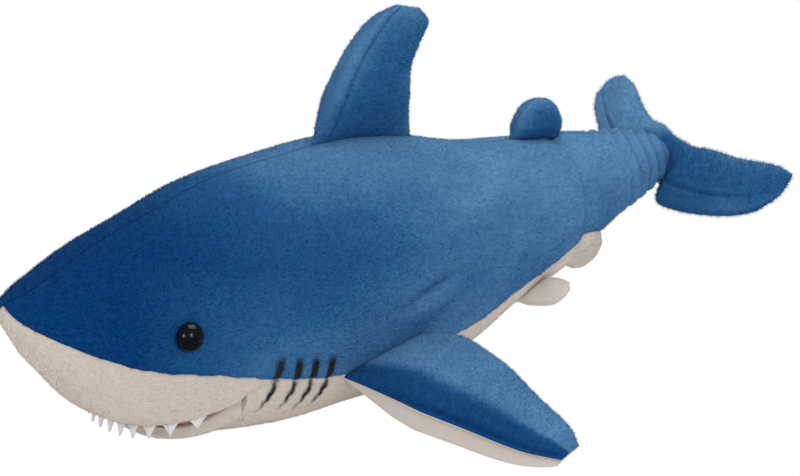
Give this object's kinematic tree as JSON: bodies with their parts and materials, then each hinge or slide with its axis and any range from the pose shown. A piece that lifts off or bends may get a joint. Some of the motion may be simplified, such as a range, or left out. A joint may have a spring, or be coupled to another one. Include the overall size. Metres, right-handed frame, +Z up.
{
  "type": "plush shark",
  "caption": "Soft stuffed shark with a blue back, cream belly, open mouth of felt teeth, glossy black eyes and floppy stuffed fins that spring back.",
  "frame": {"origin": "on the floor under the middle of the overall box, in the plane of symmetry", "axes": "nose towards -Y, tail towards +Y, the shark's left side towards +X, +Z up from the flat of the belly"},
  "size_m": [0.3904, 0.5607, 0.2084],
  "materials": {
    "blue_plush": "short dense velour pile, matt, paler where the pile turns up",
    "cream_plush": "short dense velour pile, matt",
    "stuffing_fibre": "loose polyester fibre",
    "eye_black": "gloss",
    "washer_white": "satin",
    "mouth_pink": "short velour, matt",
    "felt_white": "pressed felt, matt",
    "label_satin": "woven satin tape, blank"
  },
  "bodies": {
    "body": {"back_panel_left": "blue_plush", "back_panel_right": "blue_plush", "belly_panel": "cream_plush", "body_stuffing": "stuffing_fibre", "eye_left": "eye_black", "eye_right": "eye_black", "eye_washer_left": "washer_white", "eye_washer_right": "washer_white", "mouth_lining": "mouth_pink", "tooth_strip": "felt_white"},
    "lower_jaw": {"lower_jaw_skin": "cream_plush", "lower_jaw_lining": "mouth_pink", "lower_jaw_stuffing": "stuffing_fibre"},
    "tail_stock": {"tail_stock_panel_left": "blue_plush", "tail_stock_panel_right": "blue_plush", "tail_stock_stuffing": "stuffing_fibre"},
    "tail_fin": {"tail_fin_front_panel": "blue_plush", "tail_fin_rear_panel": "blue_plush", "tail_fin_stuffing": "stuffing_fibre", "sewn_label": "label_satin"},
    "dorsal_fin": {"dorsal_fin_left_panel": "blue_plush", "dorsal_fin_right_panel": "blue_plush", "dorsal_fin_stuffing": "stuffing_fibre"},
    "second_dorsal_fin": {"second_dorsal_left_panel": "blue_plush", "second_dorsal_right_panel": "blue_plush", "second_dorsal_stuffing": "stuffing_fibre"},
    "anal_fin": {"anal_fin_left_panel": "cream_plush", "anal_fin_right_panel": "cream_plush", "anal_fin_stuffing": "stuffing_fibre"},
    "pectoral_fin_left": {"pectoral_fin_left_top": "blue_plush", "pectoral_fin_left_under": "cream_plush", "pectoral_fin_left_stuffing": "stuffing_fibre"},
    "pelvic_fin_left": {"pelvic_fin_left_top": "cream_plush", "pelvic_fin_left_under": "cream_plush", "pelvic_fin_left_stuffing": "stuffing_fibre"},
    "pectoral_fin_right": {"pectoral_fin_right_top": "blue_plush", "pectoral_fin_right_under": "cream_plush", "pectoral_fin_right_stuffing": "stuffing_fibre"},
    "pelvic_fin_right": {"pelvic_fin_right_top": "cream_plush", "pelvic_fin_right_under": "cream_plush", "pelvic_fin_right_stuffing": "stuffing_fibre"}
  },
  "joints": [
    {"name": "jaw_press", "type": "hinge", "parent": "body", "child": "lower_jaw", "pos_m": [0, -0.14961, 0.0056], "axis": [1, 0, 0], "range_deg": [-3, 2.5], "stiffness_Nm_per_rad": 0.6},
    {"name": "tail_wag", "type": "hinge", "parent": "body", "child": "tail_stock", "pos_m": [0, 0.19907, 0.07061], "axis": [0, 0, 1], "range_deg": [-18, 18], "stiffness_Nm_per_rad": 1.2},
    {"name": "tail_fin_bend", "type": "hinge", "parent": "tail_stock", "child": "tail_fin", "pos_m": [0, 0.2426, 0.06739], "axis": [0.9519, -0.1338, -0.2756], "range_deg": [-25, 12], "stiffness_Nm_per_rad": 0.5},
    {"name": "dorsal_fin_lean", "type": "hinge", "parent": "body", "child": "dorsal_fin", "pos_m": [0, -0.02406, 0.13849], "axis": [0, 0.9848, -0.1739], "range_deg": [-35, 35], "stiffness_Nm_per_rad": 0.4},
    {"name": "second_dorsal_lean", "type": "hinge", "parent": "body", "child": "second_dorsal_fin", "pos_m": [0, 0.12393, 0.10695], "axis": [0, 0.9897, -0.143], "range_deg": [-35, 35], "stiffness_Nm_per_rad": 0.08},
    {"name": "anal_fin_lean", "type": "hinge", "parent": "body", "child": "anal_fin", "pos_m": [0, 0.15967, 0.0382], "axis": [0, 0.9736, 0.2284], "range_deg": [-25, 25], "stiffness_Nm_per_rad": 0.06},
    {"name": "pectoral_left_flap", "type": "hinge", "parent": "body", "child": "pectoral_fin_left", "pos_m": [0.06535, -0.06987, 0.0315], "axis": [-0.0964, -0.9613, -0.2583], "range_deg": [0, 40], "stiffness_Nm_per_rad": 0.5},
    {"name": "pectoral_right_flap", "type": "hinge", "parent": "body", "child": "pectoral_fin_right", "pos_m": [-0.06535, -0.06987, 0.0315], "axis": [-0.0964, 0.9613, 0.2583], "range_deg": [0, 40], "stiffness_Nm_per_rad": 0.5},
    {"name": "pelvic_left_flap", "type": "hinge", "parent": "body", "child": "pelvic_fin_left", "pos_m": [0.04453, 0.07301, 0.03056], "axis": [-0.0633, -0.9298, -0.3625], "range_deg": [-20, 10], "stiffness_Nm_per_rad": 0.05},
    {"name": "pelvic_right_flap", "type": "hinge", "parent": "body", "child": "pelvic_fin_right", "pos_m": [-0.04453, 0.07301, 0.03056], "axis": [-0.0633, 0.9298, 0.3625], "range_deg": [-20, 10], "stiffness_Nm_per_rad": 0.05}
  ]
}
